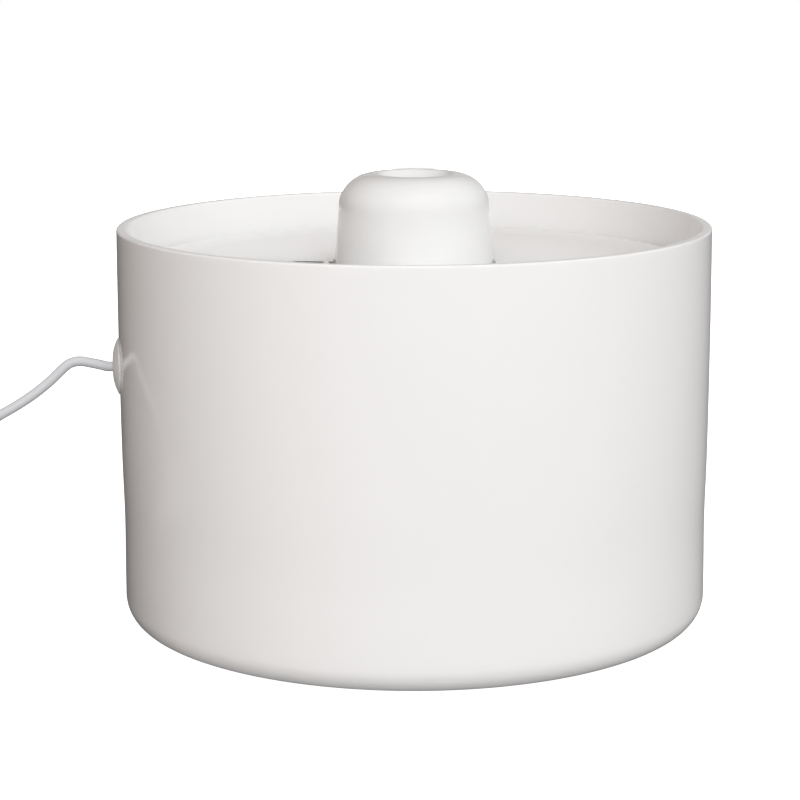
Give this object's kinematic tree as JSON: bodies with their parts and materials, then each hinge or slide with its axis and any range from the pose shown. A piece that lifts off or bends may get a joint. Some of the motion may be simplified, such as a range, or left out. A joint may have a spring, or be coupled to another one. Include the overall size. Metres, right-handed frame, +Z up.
{
  "type": "pet water fountain",
  "caption": "Round ceramic drum with a drop-in drinking plate and a central dome; a submersible pump inside lifts water to the dome's dish.",
  "frame": {"origin": "on the floor, under the middle of the drum", "axes": "+Z up along the drum's axis; the lead leaves the drum towards -X; the pump's intake faces +X"},
  "size_m": [0.4267, 0.22, 0.1661],
  "materials": {
    "glaze": "glossy white glaze",
    "silicone": "soft matte silicone",
    "lead_jacket": "satin light grey jacket",
    "tie_strap": "woven strap",
    "plug_grip": "fine matte",
    "plug_metal": "bright nickel",
    "contact_gold": "gold-plated",
    "plug_insulator": "plain",
    "case_plastic": "semi-gloss white",
    "pump_plastic": "semi-gloss white",
    "cartridge_plastic": "satin",
    "carbon": "black granules in fleece",
    "foam": "open-cell foam",
    "core_steel": "varnished laminations",
    "copper": "enamelled copper wire",
    "board": "solder resist",
    "resin": "cast resin",
    "seal_rubber": "smooth",
    "shaft_steel": "ground",
    "bush": "smooth",
    "magnet": "sintered",
    "impeller_plastic": "satin",
    "dial_plastic": "satin",
    "tube_silicone": "translucent silicone"
  },
  "bodies": {
    "drum": {"vessel": "glaze", "cord_grommet": "silicone", "pump_lead": "lead_jacket", "lead_boot": "lead_jacket", "lead_run": "lead_jacket", "lead_coil": "lead_jacket", "lead_tail": "lead_jacket", "coil_tie": "tie_strap", "plug_grip": "plug_grip", "plug_shell": "plug_metal", "plug_tongue": "plug_insulator", "plug_contacts": "contact_gold", "pump_case": "case_plastic", "suction_cups": "silicone", "pump_housing": "pump_plastic", "stator_core": "core_steel", "stator_coil": "copper", "driver_board": "board", "motor_potting": "resin", "volute_cover": "pump_plastic", "cover_seal": "seal_rubber", "rotor_shaft": "shaft_steel", "shaft_bushes": "bush", "riser_tube": "tube_silicone"},
    "plate": {"drinking_plate": "glaze"},
    "dome": {"dome": "glaze"},
    "lid": {"case_lid": "case_plastic"},
    "filter": {"filter_frame": "cartridge_plastic", "filter_cover": "cartridge_plastic", "carbon_pad": "carbon", "foam_pad": "foam"},
    "rotor": {"rotor_magnet": "magnet", "impeller": "impeller_plastic"},
    "dial": {"flow_dial": "dial_plastic"}
  },
  "joints": [
    {"name": "plate_lift", "type": "slide", "parent": "drum", "child": "plate", "axis": [0, 0, 1], "range_m": [0, 0.08]},
    {"name": "dome_lift", "type": "slide", "parent": "plate", "child": "dome", "axis": [0, 0, 1], "range_m": [0, 0.05]},
    {"name": "lid_lift", "type": "slide", "parent": "drum", "child": "lid", "axis": [0, 0, 1], "range_m": [0, 0.04]},
    {"name": "filter_slide", "type": "slide", "parent": "drum", "child": "filter", "axis": [0, 0, 1], "range_m": [0, 0.042]},
    {"name": "impeller_spin", "type": "hinge", "parent": "drum", "child": "rotor", "pos_m": [0, 0, 0.0378], "axis": [1, 0, 0], "continuous": true},
    {"name": "dial_turn", "type": "hinge", "parent": "drum", "child": "dial", "pos_m": [0.0113, 0, 0.0378], "axis": [-1, 0, 0], "range_deg": [0, 90]}
  ]
}
